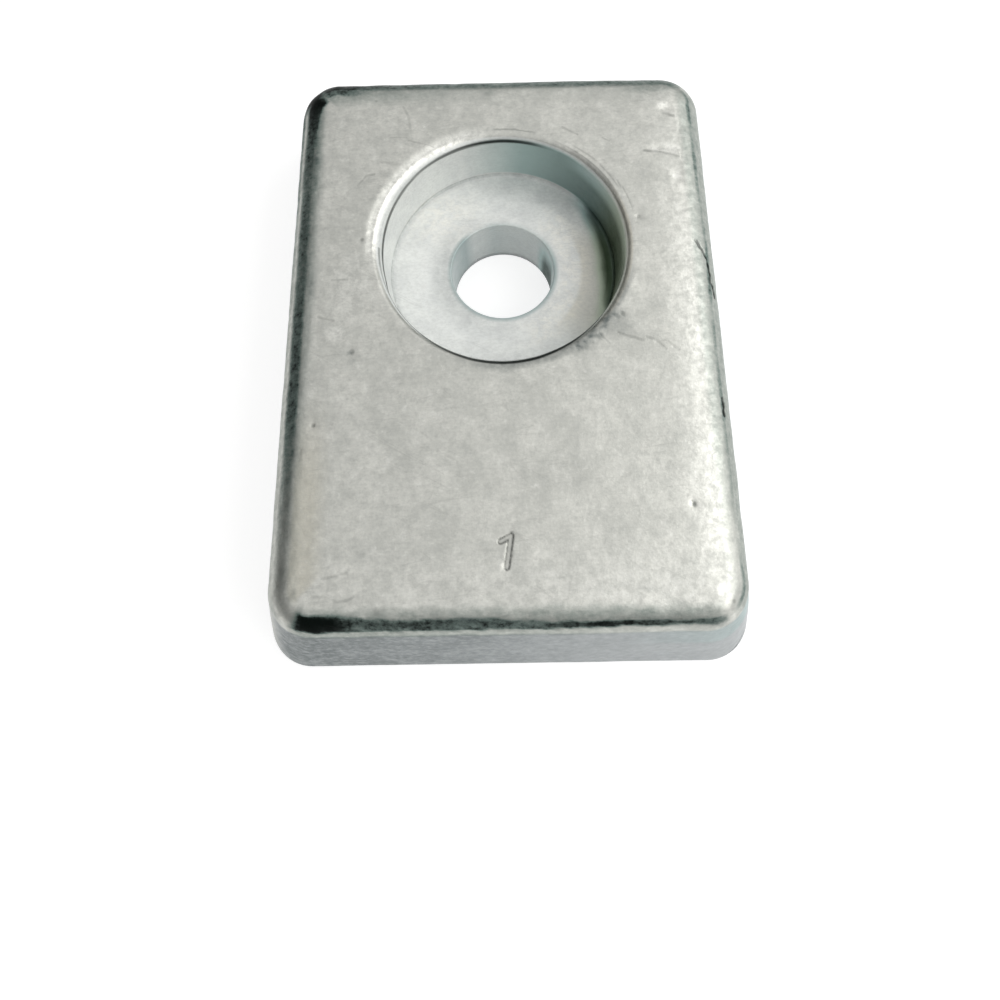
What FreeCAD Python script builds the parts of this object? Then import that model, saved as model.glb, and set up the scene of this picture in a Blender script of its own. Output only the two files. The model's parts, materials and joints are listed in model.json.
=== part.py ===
"""Sacrificial anode: one cast zinc block with a drafted bolt-head recess and a through bore.

Frame, in millimetres: the block lies on Z = 0, its mounting face, with +Z up through the bolt.
X runs across the block and Y along it, from the plain end to the bolt's end. The origin is the
centre of the mounting face.
"""
import FreeCAD, Part
import math
import os
import Sketcher

NODE = "anode_block"

# Driving dimensions, in millimetres, and angles in degrees
DIMENSIONS = {
    "block_length": 52.0,          # along Y, at the mounting face
    "block_width": 39.5,           # along X, at the mounting face
    "block_height": 11.0,          # along Z
    "wall_draft": 12.0,            # how far the side walls lean in towards the top
    "corner_radius": 3.6,          # upright corners of the block
    "top_edge_radius": 2.5,        # rounding between the walls and the top face
    "base_edge_radius": 0.3,       # broken edge round the mounting face
    "bolt_offset": 6.9,            # bolt axis from the block's centre, along +Y
    "bore_diameter": 9.0,          # clearance for an M8 bolt
    "bore_mouth_radius": 0.15,     # rounding where the bore meets the recess floor
    "recess_diameter": 19.7,       # recess for the bolt's head and washer, at its floor
    "recess_depth": 5.3,           # from the top face to the recess floor
    "recess_draft": 4.0,           # how far the recess wall opens towards the top
    "recess_root_radius": 0.25,    # inner corner between the recess floor and its wall
    "recess_rim_radius": 0.8,      # rounding between the recess wall and the top face
}

OVERSHOOT = 2.0                    # how far the cutting profile runs past both faces
PLANE_TOLERANCE = 1e-4             # when a vertex counts as lying in a plane


def make_sheet(doc):
    """The spreadsheet that holds every driving dimension under its own alias."""
    sheet = doc.addObject("Spreadsheet::Sheet", "Dimensions")
    for row, (alias, value) in enumerate(DIMENSIONS.items(), start=1):
        sheet.set(f"A{row}", alias)
        sheet.set(f"B{row}", str(value))
        sheet.setAlias(f"B{row}", alias)
    doc.recompute()
    return sheet


def cell(name):
    """The expression that reads one driving dimension."""
    return f"Dimensions.{name}"


def origin_plane(body, role):
    """One of the body's own origin planes, as a link."""
    return (next(item for item in body.Origin.OriginFeatures if item.Role == role), [""])


def new_sketch(body, name, role):
    """An empty sketch on one of the body's own origin planes."""
    sketch = body.newObject("Sketcher::SketchObject", name)
    sketch.AttachmentSupport = origin_plane(body, role)
    sketch.MapMode = "FlatFace"
    return sketch


def drive(sketch, constraint, expression):
    """Add a dimension to the sketch and bind its value to an expression."""
    index = sketch.addConstraint(constraint)
    sketch.setExpression(f"Constraints[{index}]", expression)


def close_loop(sketch, count):
    """Join the ends of the lines 0 to count - 1 into one closed outline."""
    for line in range(count):
        sketch.addConstraint(Sketcher.Constraint("Coincident", line, 2, (line + 1) % count, 1))


def draw_footprint(body):
    """The rectangle of the mounting face, centred on the origin."""
    sketch = new_sketch(body, "Footprint", "XY_Plane")
    half_x = DIMENSIONS["block_width"] / 2
    half_y = DIMENSIONS["block_length"] / 2
    corners = [(-half_x, -half_y), (half_x, -half_y), (half_x, half_y), (-half_x, half_y)]
    for (ax, ay), (bx, by) in zip(corners, corners[1:] + corners[:1]):
        sketch.addGeometry(Part.LineSegment(FreeCAD.Vector(ax, ay, 0), FreeCAD.Vector(bx, by, 0)))
    near, right, far, left = range(4)
    close_loop(sketch, 4)
    for line in (near, far):
        sketch.addConstraint(Sketcher.Constraint("Horizontal", line))
    for line in (right, left):
        sketch.addConstraint(Sketcher.Constraint("Vertical", line))
    sketch.addConstraint(Sketcher.Constraint("Symmetric", near, 1, right, 2, -1, 1))
    drive(sketch, Sketcher.Constraint("DistanceX", near, 1, near, 2, 2 * half_x), cell("block_width"))
    drive(sketch, Sketcher.Constraint("DistanceY", right, 1, right, 2, 2 * half_y), cell("block_length"))
    return sketch


def round_edges(body, name, base, edges, size):
    """A fillet on the named edges of the base feature, with its radius from the sheet."""
    fillet = body.newObject("PartDesign::Fillet", name)
    fillet.Base = (base, edges)
    fillet.setExpression("Radius", cell(size))
    body.Document.recompute()
    return fillet


def upright_edges(shape):
    """Names of the straight edges that climb from the mounting face to the top."""
    return [f"Edge{number}" for number, edge in enumerate(shape.Edges, start=1)
            if abs(edge.Vertexes[0].Z - edge.Vertexes[-1].Z) > PLANE_TOLERANCE]


def side_faces(shape):
    """Names of the faces that stand upright on the mounting face."""
    return [f"Face{number}" for number, face in enumerate(shape.Faces, start=1)
            if abs(face.normalAt(0, 0).z) < PLANE_TOLERANCE]


def edges_at_height(shape, height):
    """Names of the edges that lie flat at one height."""
    return [f"Edge{number}" for number, edge in enumerate(shape.Edges, start=1)
            if abs(edge.BoundBox.ZMin - height) < PLANE_TOLERANCE
            and abs(edge.BoundBox.ZMax - height) < PLANE_TOLERANCE]


def circle_at(shape, radius, height):
    """Names of the full circles of one radius at one height."""
    return [f"Edge{number}" for number, edge in enumerate(shape.Edges, start=1)
            if isinstance(edge.Curve, Part.Circle)
            and abs(edge.Curve.Radius - radius) < PLANE_TOLERANCE
            and abs(edge.Curve.Center.z - height) < PLANE_TOLERANCE]


def cast_block(body, sheet):
    """The outer form: a block with drafted walls, rounded corners and rounded edges."""
    block = body.newObject("PartDesign::Pad", "Block")
    block.Profile = draw_footprint(body)
    block.setExpression("Length", cell("block_height"))
    body.Document.recompute()
    drafted = body.newObject("PartDesign::Draft", "WallDraft")
    drafted.Base = (block, side_faces(block.Shape))
    drafted.NeutralPlane = origin_plane(body, "XY_Plane")
    drafted.setExpression("Angle", cell("wall_draft"))
    body.Document.recompute()
    if not drafted.Shape.Volume < block.Shape.Volume:
        raise RuntimeError("the walls lean out, not in")
    corners = round_edges(body, "Corners", drafted, upright_edges(drafted.Shape), "corner_radius")
    top = edges_at_height(corners.Shape, sheet.block_height)
    shoulders = round_edges(body, "TopEdge", corners, top, "top_edge_radius")
    base = edges_at_height(shoulders.Shape, 0.0)
    return round_edges(body, "BaseEdge", shoulders, base, "base_edge_radius")


def draw_core(body):
    """Half section of the stepped core that leaves the bore and the recess.

    The sketch lies in the upright plane through the bolt axis. Its lines run up the axis, out along
    the top, down the drafted recess wall, in along the floor and down the bore.
    """
    sketch = new_sketch(body, "CoreSection", "XZ_Plane")
    sketch.setExpression("AttachmentOffset.Base.z", f"-{cell('bolt_offset')}")
    bore = DIMENSIONS["bore_diameter"] / 2
    floor = DIMENSIONS["recess_diameter"] / 2
    floor_z = DIMENSIONS["block_height"] - DIMENSIONS["recess_depth"]
    top_z = DIMENSIONS["block_height"] + OVERSHOOT
    mouth = floor + (top_z - floor_z) * math.tan(math.radians(DIMENSIONS["recess_draft"]))
    foot_z = -OVERSHOOT
    points = [(0, foot_z), (0, top_z), (mouth, top_z), (floor, floor_z), (bore, floor_z), (bore, foot_z)]
    for (ax, ay), (bx, by) in zip(points, points[1:] + points[:1]):
        sketch.addGeometry(Part.LineSegment(FreeCAD.Vector(ax, ay, 0), FreeCAD.Vector(bx, by, 0)))
    axis, lid, wall, ledge, side, foot = range(6)
    close_loop(sketch, 6)
    for line in (lid, ledge, foot):
        sketch.addConstraint(Sketcher.Constraint("Horizontal", line))
    sketch.addConstraint(Sketcher.Constraint("Vertical", side))
    sketch.addConstraint(Sketcher.Constraint("PointOnObject", axis, 1, -2))
    sketch.addConstraint(Sketcher.Constraint("PointOnObject", axis, 2, -2))
    above = f"{cell('block_height')} - {cell('recess_depth')}"
    drive(sketch, Sketcher.Constraint("DistanceX", -1, 1, side, 1, bore), f"{cell('bore_diameter')} / 2")
    drive(sketch, Sketcher.Constraint("DistanceX", -1, 1, wall, 2, floor), f"{cell('recess_diameter')} / 2")
    drive(sketch, Sketcher.Constraint("DistanceY", -1, 1, wall, 2, floor_z), above)
    drive(sketch, Sketcher.Constraint("DistanceY", -1, 1, lid, 2, top_z), f"{cell('block_height')} + {OVERSHOOT}")
    sketch.addConstraint(Sketcher.Constraint("DistanceY", side, 2, -1, 1, OVERSHOOT))
    drive(sketch, Sketcher.Constraint("DistanceX", wall, 2, wall, 1, mouth - floor),
          f"({cell('recess_depth')} + {OVERSHOOT}) * tan({cell('recess_draft')} * 1 deg)")
    return sketch


def core_out(body, sheet, block):
    """Cut the recess and the bore in one turn, then round the edges that the core leaves."""
    solid_volume = block.Shape.Volume
    groove = body.newObject("PartDesign::Groove", "RecessAndBore")
    groove.Profile = draw_core(body)
    groove.ReferenceAxis = (groove.Profile[0], ["V_Axis"])
    groove.Angle = 360.0
    body.Document.recompute()
    if not groove.Shape.Volume < solid_volume:
        raise RuntimeError("the recess and the bore cut nothing")
    floor_z = sheet.block_height - sheet.recess_depth
    floor_radius = sheet.recess_diameter / 2
    bore_mouth = circle_at(groove.Shape, sheet.bore_diameter / 2, floor_z)
    softened = round_edges(body, "BoreMouth", groove, bore_mouth, "bore_mouth_radius")
    root = circle_at(softened.Shape, floor_radius, floor_z)
    rooted = round_edges(body, "RecessRoot", softened, root, "recess_root_radius")
    rim_radius = floor_radius + sheet.recess_depth * math.tan(math.radians(sheet.recess_draft))
    rim = circle_at(rooted.Shape, rim_radius, sheet.block_height)
    return round_edges(body, "RecessRim", rooted, rim, "recess_rim_radius")


def build_anode(doc, sheet):
    """The whole anode, one casting."""
    body = doc.addObject("PartDesign::Body", "AnodeBlock")
    body.Label = NODE
    body.Placement = FreeCAD.Placement()
    block = cast_block(body, sheet)
    body.Tip = core_out(body, sheet, block)
    doc.recompute()
    return body


def check_document(doc, bodies):
    """Stop if a feature failed, or if a sub-part isn't one valid solid."""
    for item in doc.Objects:
        if "Invalid" in item.State or "Error" in item.State:
            raise RuntimeError(f"{item.Label} failed: {item.State}")
    for body in bodies:
        if body.Shape.isNull() or not body.Shape.isValid() or len(body.Shape.Solids) != 1:
            raise RuntimeError(f"{body.Label} isn't one valid solid")


def main():
    doc = FreeCAD.newDocument("SacrificialAnode")
    sheet = make_sheet(doc)
    anode = build_anode(doc, sheet)
    check_document(doc, [anode])
    os.makedirs("parts", exist_ok=True)
    anode.Shape.exportStep(os.path.join("parts", anode.Label + ".step"))
    box = anode.Shape.BoundBox
    print(f"{anode.Label}: {box.XLength:.2f} x {box.YLength:.2f} x {box.ZLength:.2f} mm, "
          f"{anode.Shape.Volume / 1000:.3f} cm3")


main()
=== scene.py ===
"""Looks of a cast zinc anode: one bevelled block with a cored, counterbored hole for its bolt.

The block's skin is one closed grid of quads wrapped over the section of the casting. Waviness, wear, dents,
cracks, pits, the torn rim and the punched cavity mark are pushed inward from the cast faces. The places of
soot, dirt, bare metal and smooth core faces, and of painted shade, painted reflection and painted
highlights, are kept on the skin as attributes, which the zinc's material reads.
Lengths in this script are millimetres until the mesh and the stage are made.
"""

import json
import math

import bmesh
import bpy
import numpy as np
from mathutils import Euler, Matrix, Vector, noise


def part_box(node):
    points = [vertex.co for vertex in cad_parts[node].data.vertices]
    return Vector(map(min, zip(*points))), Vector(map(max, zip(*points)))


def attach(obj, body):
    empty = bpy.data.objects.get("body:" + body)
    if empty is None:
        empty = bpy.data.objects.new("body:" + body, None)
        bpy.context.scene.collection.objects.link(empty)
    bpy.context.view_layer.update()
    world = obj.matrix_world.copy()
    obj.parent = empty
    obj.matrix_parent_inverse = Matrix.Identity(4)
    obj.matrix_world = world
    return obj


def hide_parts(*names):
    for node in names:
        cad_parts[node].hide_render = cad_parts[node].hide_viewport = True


MM = 0.001
NODE = "anode_block"

# Sizes of the cast section that the block's box doesn't give
WALL_DRAFT = math.radians(12)
CORNER_RADIUS = 3.6
TOP_EDGE_RADIUS = 2.5
BASE_EDGE_RADIUS = 0.3
RECESS_RADIUS = 9.85
RECESS_DEPTH = 5.3
RECESS_DRAFT = math.radians(4)
RECESS_ROOT_RADIUS = 0.25
RECESS_RIM_RADIUS = 0.8
BORE_MOUTH_RADIUS = 0.15

# How finely the skin is divided: columns round the block, and rings along each stretch of the section
COLUMN_SPACING = 0.34
CORNER_COLUMNS = 14
BORE_RINGS = 9
BORE_MOUTH_RINGS = 4
RECESS_FLOOR_RINGS = 14
RECESS_ROOT_RINGS = 4
RECESS_WALL_RINGS = 24
RECESS_RIM_RINGS = 10
TOP_RINGS = 56
TOP_EDGE_RINGS = 24
WALL_RINGS = 14
BASE_EDGE_RINGS = 5
UNDERSIDE_RINGS = 6


def smooth_step(low, high, value):
    """0 below low, 1 above high, with an even start and end between them."""
    share = np.clip((value - low) / (high - low), 0, 1)
    return share * share * (3 - 2 * share)


def band(value, start, full, fade, end):
    """1 from full to fade, 0 before start and after end."""
    return smooth_step(start, full, value) * (1 - smooth_step(fade, end, value))


def steps(start, end, count):
    """Even steps from start to end, without start itself."""
    return np.linspace(start, end, count + 1)[1:]


def cast_noise(points, scale, seed):
    """Perlin noise from -1 to 1 at each point, with lumps about scale across."""
    shift = np.array([seed * 17.3, seed * -9.1, seed * 5.7])
    return np.array([noise.noise(Vector(p)) for p in points / scale + shift])


class Section:
    """The casting's section: outlines round the block and circles round the hole."""

    def __init__(self, record):
        low, high = (np.array(corner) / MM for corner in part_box(NODE))
        bore = next(mount for mount in record["mounts"] if mount["name"] == "bolt_bore")
        self.hole = np.array(bore["pos_m"][:2]) / MM
        self.bore_radius = bore["dims"]["r_mm"]
        self.height = high[2]
        self.floor_z = self.height - RECESS_DEPTH
        base_gap = BASE_EDGE_RADIUS * (math.tan(WALL_DRAFT) + 1 / math.cos(WALL_DRAFT) - 1)
        self.foot = (high[:2] - low[:2]) / 2 + base_gap
        self.edge_z = self.height - TOP_EDGE_RADIUS
        self.top_inset = self.wall_inset(self.edge_z) + TOP_EDGE_RADIUS / math.cos(WALL_DRAFT)
        self.top_corner = CORNER_RADIUS - TOP_EDGE_RADIUS * math.cos(WALL_DRAFT)
        self.stations = self.make_stations()
        self.angles = self.column_angles()

    def wall_inset(self, z):
        """How far the drafted wall stands inside the foot's outline at height z."""
        return z * math.tan(WALL_DRAFT)

    def make_stations(self):
        """Each column's place on an outline: its share of the straight core, and the way it faces."""
        half_x, half_y = self.foot - self.top_inset - self.top_corner
        sides = [((1, -1), (1, 1), 0, half_y), ((1, 1), (-1, 1), 90, half_x),
                 ((-1, 1), (-1, -1), 180, half_y), ((-1, -1), (1, -1), 270, half_x)]
        rows = []
        for start, end, facing, half_length in sides:
            count = round(2 * half_length / COLUMN_SPACING)
            for step in range(count):
                core = np.array(start) + (np.array(end) - start) * step / count
                rows.append((*core, facing))
            for step in range(CORNER_COLUMNS):
                rows.append((*end, facing + 90 * step / CORNER_COLUMNS))
        return np.array(rows, float)

    def outline(self, inset, corner, z):
        """A rounded rectangle at height z, standing inset inside the foot's outline."""
        core = (self.foot - inset - corner) * self.stations[:, :2]
        facing = np.radians(self.stations[:, 2])
        flat = core + corner * np.column_stack([np.cos(facing), np.sin(facing)])
        return np.column_stack([flat, np.full(len(flat), z)])

    def column_angles(self):
        top = self.outline(self.top_inset, self.top_corner, self.height)[:, :2] - self.hole
        return np.arctan2(top[:, 1], top[:, 0])

    def circle(self, radius, z):
        """A circle round the hole's axis, its points in line with the outline's columns."""
        flat = self.hole + radius * np.column_stack([np.cos(self.angles), np.sin(self.angles)])
        return np.column_stack([flat, np.full(len(flat), z)])

    def circle_arc(self, centre_radius, centre_z, radius, start, end, count):
        """Circles along an arc of the section, from start to end degrees."""
        turns = np.radians(steps(start, end, count))
        return [self.circle(centre_radius + radius * math.cos(turn), centre_z + radius * math.sin(turn))
                for turn in turns]

    def recess_rings(self):
        """From the bore's foot up its wall, over the recess's floor and wall to the rim."""
        mouth = self.bore_radius + BORE_MOUTH_RADIUS
        draft = math.degrees(RECESS_DRAFT)
        root_z = self.floor_z + RECESS_ROOT_RADIUS
        root = self.recess_wall(root_z) - RECESS_ROOT_RADIUS / math.cos(RECESS_DRAFT)
        rim_z = self.height - RECESS_RIM_RADIUS
        rim = self.recess_wall(rim_z) + RECESS_RIM_RADIUS / math.cos(RECESS_DRAFT)
        wall_low = root_z - RECESS_ROOT_RADIUS * math.sin(RECESS_DRAFT)
        wall_high = rim_z + RECESS_RIM_RADIUS * math.sin(RECESS_DRAFT)
        mouth_z = self.floor_z - BORE_MOUTH_RADIUS
        rings = [self.circle(self.bore_radius, z) for z in np.linspace(0, mouth_z, BORE_RINGS)]
        rings += self.circle_arc(mouth, mouth_z, BORE_MOUTH_RADIUS, 180, 90, BORE_MOUTH_RINGS)
        rings += [self.circle(radius, self.floor_z) for radius in steps(mouth, root, RECESS_FLOOR_RINGS)]
        rings += self.circle_arc(root, root_z, RECESS_ROOT_RADIUS, -90, -draft, RECESS_ROOT_RINGS)
        rings += [self.circle(self.recess_wall(z), z) for z in steps(wall_low, wall_high, RECESS_WALL_RINGS)]
        rings += self.circle_arc(rim, rim_z, RECESS_RIM_RADIUS, 180 - draft, 90, RECESS_RIM_RINGS)
        return rings

    def recess_wall(self, z):
        """The drafted recess wall's radius at height z."""
        return RECESS_RADIUS + (z - self.floor_z) * math.tan(RECESS_DRAFT)

    def top_rings(self, rim_ring):
        """Across the top face, from the rim out to where its edge starts to round."""
        edge = self.outline(self.top_inset, self.top_corner, self.height)
        return [rim_ring + (edge - rim_ring) * share for share in steps(0, 1, TOP_RINGS)]

    def outer_rings(self):
        """Over the rounded top edge, down the drafted wall and round the base edge."""
        rings = []
        for slope in steps(0, 90 - math.degrees(WALL_DRAFT), TOP_EDGE_RINGS):
            reach = TOP_EDGE_RADIUS * math.sin(math.radians(slope))
            z = self.edge_z + TOP_EDGE_RADIUS * math.cos(math.radians(slope))
            rings.append(self.outline(self.top_inset - reach, self.top_corner + reach, z))
        wall_top = self.edge_z + TOP_EDGE_RADIUS * math.sin(WALL_DRAFT)
        wall_foot = BASE_EDGE_RADIUS * (1 + math.sin(WALL_DRAFT))
        for z in steps(wall_top, wall_foot, WALL_RINGS):
            rings.append(self.outline(self.wall_inset(z), CORNER_RADIUS, z))
        base_inset = self.wall_inset(BASE_EDGE_RADIUS) + BASE_EDGE_RADIUS / math.cos(WALL_DRAFT)
        for angle in np.radians(steps(math.degrees(WALL_DRAFT), -90, BASE_EDGE_RINGS)):
            reach = BASE_EDGE_RADIUS * math.cos(angle)
            z = BASE_EDGE_RADIUS * (1 + math.sin(angle))
            corner = CORNER_RADIUS - BASE_EDGE_RADIUS + reach
            rings.append(self.outline(base_inset - reach, corner, z))
        return rings

    def rings(self):
        """Every ring of the closed skin, ending next to the first."""
        rings = self.recess_rings()
        rings += self.top_rings(rings[-1])
        rings += self.outer_rings()
        across = rings[0] - rings[-1]
        rings += [rings[-1] + across * share for share in steps(0, 1, UNDERSIDE_RINGS + 1)[:-1]]
        return rings


def wrap_rings(rings):
    """A bmesh of quads between each ring and the next, closed both ways."""
    mesh = bmesh.new()
    grid = [[mesh.verts.new(point) for point in ring] for ring in rings]
    columns = len(rings[0])
    for row, ring in enumerate(grid):
        following = grid[(row + 1) % len(grid)]
        for column in range(columns):
            beside = (column + 1) % columns
            mesh.faces.new((ring[column], ring[beside], following[beside], following[column]))
    bmesh.ops.recalc_face_normals(mesh, faces=mesh.faces)
    return mesh


# Marks on the cast faces: places in millimetres from the block's centre
MARK_STROKES = [((-0.5, -17.5), (0.28, -17.1)), ((0.28, -17.1), (-0.06, -19.35))]
MARK_HALF_WIDTH = 0.17
MARK_DEPTH = 0.06
MARK_WALL = 0.09
CRACK = [(16.05, 6.8), (16.35, 6.2), (16.5, 6.1), (16.75, 5.6), (16.93, 5.3), (16.98, 4.6), (17.08, 4.2),
         (17.1, 3.3), (17.28, 2.6), (17.3, 1.9)]
CRACK_DASH = [(17.0, -6.75), (16.97, -8.1)]
CORNER_CRACK = [(18.80, -24.02, 1.75), (18.62, -24.50, 1.2), (18.44, -24.88, 0.75), (17.96, -25.35, 0.45)]
CRACK_DEPTH = 0.1
SCRATCH_DEPTH = 0.03
# Round dimples: place and radius
DIMPLES = [(-11.6, 7.4, 0.3), (13.8, -15.0, 0.3), (-14.7, -8.5, 0.25), (-12.2, -2.6, 0.4),
           (11.41, 9.05, 0.3)]
# Soft dents: place, half length and width, and depth
DENTS = [(14.4, 15.75, 1.6, 0.42, 0.09), (14.4, 19.75, 0.7, 0.35, 0.06), (-11.9, -21.6, 1.5, 0.5, 0.04),
         (14.9, 12.9, 0.4, 0.6, 0.05)]
# Scratches on the top face: points, half width, and how dark
SCRATCHES = [
    ([(-8.49, 20.47), (-8.01, 19.45), (-7.78, 18.0)], 0.09, 0.3),
    ([(-9.5, 17.28), (-8.1, 17.24)], 0.07, 0.3),
    ([(-7.91, 16.93), (-5.8, 16.31)], 0.08, 0.4),
    ([(-12.17, 12.56), (-11.48, 13.49), (-10.79, 13.63)], 0.09, 0.35),
    ([(-10.25, 14.83), (-8.39, 14.48)], 0.12, 0.3),
    ([(-13.89, 3.74), (-12.66, 3.76)], 0.1, 0.5),
    ([(-14.8, 0.45), (-13.58, 0.14)], 0.09, 0.45),
    ([(-12.16, 1.59), (-9.4, 0.27)], 0.1, 0.16),
    ([(5.44, 17.96), (6.67, 17.2)], 0.1, 0.5),
    ([(8.81, 16.84), (9.38, 16.46)], 0.09, 0.45),
    ([(14.3, 19.22), (15.09, 19.01)], 0.14, 0.65),
    ([(12.35, 15.46), (13.85, 15.28), (15.18, 14.84)], 0.13, 0.62),
    ([(7.69, -1.51), (8.32, -2.22)], 0.09, 0.4),
    ([(9.03, -1.31), (10.99, -2.02)], 0.12, 0.5),
    ([(11.28, -1.73), (12.03, -2.04), (12.72, -2.75)], 0.12, 0.45),
    ([(12.96, -2.2), (13.71, -2.85)], 0.12, 0.4),
    ([(-13.37, -19.94), (-12.57, -19.81), (-11.63, -19.53)], 0.09, 0.35),
    ([(-14.01, -21.21), (-13.02, -21.19), (-12.18, -21.58), (-11.54, -21.48), (-10.98, -21.24)], 0.09, 0.35),
    ([(-12.7, -10.6), (-11.9, -10.57)], 0.08, 0.25),
]
# Thick places in the coat on the near edge's right half: place, half length, and how dark
NEAR_CLUMPS = [(4.6, 0.4, 0.8), (6.0, 0.55, 1.0), (7.8, 0.7, 0.7), (10.4, 0.85, 0.75), (12.9, 0.75, 0.8),
               (15.1, 0.8, 1.0)]
# Bright patches on the top face, rubbed metal and painted highlights on the dents: place, half length and
# width, and how bright
RUBBED_AND_HIGHLIGHT_SPOTS = [(14.5, 15.6, 1.35, 0.5, 1.0), (13.4, 15.5, 0.6, 0.3, 0.8), (14.3, 20.1, 0.7, 0.55, 1.0),
                (15.0, 13.0, 0.5, 0.35, 0.9), (14.9, 20.9, 0.35, 0.25, 0.8), (-13.4, -1.0, 0.9, 0.8, 0.5),
                (-12.4, 3.0, 1.6, 3.2, 0.3)]
# Soft grey rubs on the top face, the last one painted shade over a bright corner: place, half length and
# width, and how dark
SMUDGE_AND_SHADE_SPOTS = [
    (-2.95, -22.95, 0.75, 0.2, 0.45), (10.8, -23.15, 0.5, 0.16, 0.5), (15.1, -23.5, 1.2, 0.3, 0.45),
    (0.1, -4.25, 0.7, 0.16, 0.7), (-12.15, -2.6, 0.5, 0.22, 0.5), (-11.9, -3.3, 0.6, 0.5, 0.2),
    (-10.5, -18.1, 0.9, 0.5, 0.16), (9.9, -20.95, 0.6, 0.2, 0.3), (-15.85, 15.4, 0.25, 0.4, 0.45),
    (-15.35, -20.9, 0.2, 0.4, 0.4), (-15.5, 3.2, 0.35, 1.2, 0.3), (-9.5, 13.6, 1.3, 0.35, 0.2),
    (-14.2, 19.2, 1.9, 0.35, 0.14), (8.9, -0.5, 1.3, 1.1, 0.4), (-1.0, 21.7, 0.5, 0.5, 0.35),
    (16.2, -21.4, 0.9, 0.9, 0.13),
]
# Small pits filled with dirt: place, radius, and how dark
SPOTS = [
    (-11.6, 7.4, 0.17, 0.5), (13.8, -15.0, 0.2, 0.85), (13.65, -14.8, 0.1, 0.5), (-14.7, -8.5, 0.17, 0.6),
    (11.41, 9.05, 0.17, 0.35), (-9.37, -22.3, 0.3, 0.3), (-12.0, -2.5, 0.2, 0.35), (-10.9, 21.1, 0.15, 0.4),
    (9.5, 0.3, 0.2, 0.4), (16.12, -21.96, 0.13, 0.4),
]
# Arcs rubbed round the rim: radius, first and last bearing, half width, and how dark
RIM_ARCS = [(10.98, 72, 96, 0.07, 0.5), (11.12, 24, 58, 0.08, 0.4), (11.32, 12, 34, 0.07, 0.35),
            (10.72, 20, 66, 0.06, 0.3), (11.6, 36, 50, 0.06, 0.25)]
# Where the skin is divided again: how near to a mark, and into how many
FINE_REACH = 0.33
FINE_CUTS = 3
FAR_AWAY = 9
# How deep the whole skin lies below the true faces, and its waves: height, spacing and the noise's seed
SKIN_SINK = 0.035
WAVES = [(0.024, 6.0, 1), (0.012, 2.2, 2), (0.004, 0.9, 4)]
# How far rubbing has worn the top edge and the rim, and how wide
EDGE_WEAR = 0.1
EDGE_WEAR_WIDTH = 3.0
RIM_WEAR = 0.17
RIM_WEAR_WIDTH = 0.6


def distance_to_line(places, points):
    """Each place's distance to a line of straight runs."""
    best = np.full(len(places), np.inf)
    for start, end in zip(points, points[1:]):
        run = np.subtract(end, start)
        share = np.clip((places - start) @ run / (run @ run), 0, 1)
        best = np.minimum(best, np.linalg.norm(places - start - share[:, None] * run, axis=1))
    return best


def spread(skin, x, y, half_length, half_width):
    """0 at the place (x, y), 1 on the ellipse round it, and more beyond."""
    return ((skin.x - x) / half_length) ** 2 + ((skin.y - y) / half_width) ** 2


def fine_marks(places, crown):
    """Which places lie close to a mark that is finer than the skin's quads."""
    lines = MARK_STROKES + [CRACK, CRACK_DASH] + [points for points, _, _ in SCRATCHES]
    near = np.minimum.reduce([distance_to_line(places[:, :2], line) for line in lines])
    for x, y, _, _ in SPOTS:
        near = np.minimum(near, np.hypot(places[:, 0] - x, places[:, 1] - y))
    near = np.where(crown, near, distance_to_line(places, CORNER_CRACK))
    return near < FINE_REACH


def refine(mesh, section):
    """Divides the skin again where a mark is finer than its quads."""
    faces = list(mesh.faces)
    centres = np.array([face.calc_center_median() for face in faces])
    chosen = set()
    for index in np.flatnonzero(fine_marks(centres, centres[:, 2] > section.edge_z + 0.5)):
        chosen.update(faces[index].edges)
    bmesh.ops.subdivide_edges(mesh, edges=sorted(chosen, key=lambda edge: edge.index),
                              cuts=FINE_CUTS, use_grid_fill=True)


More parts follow.
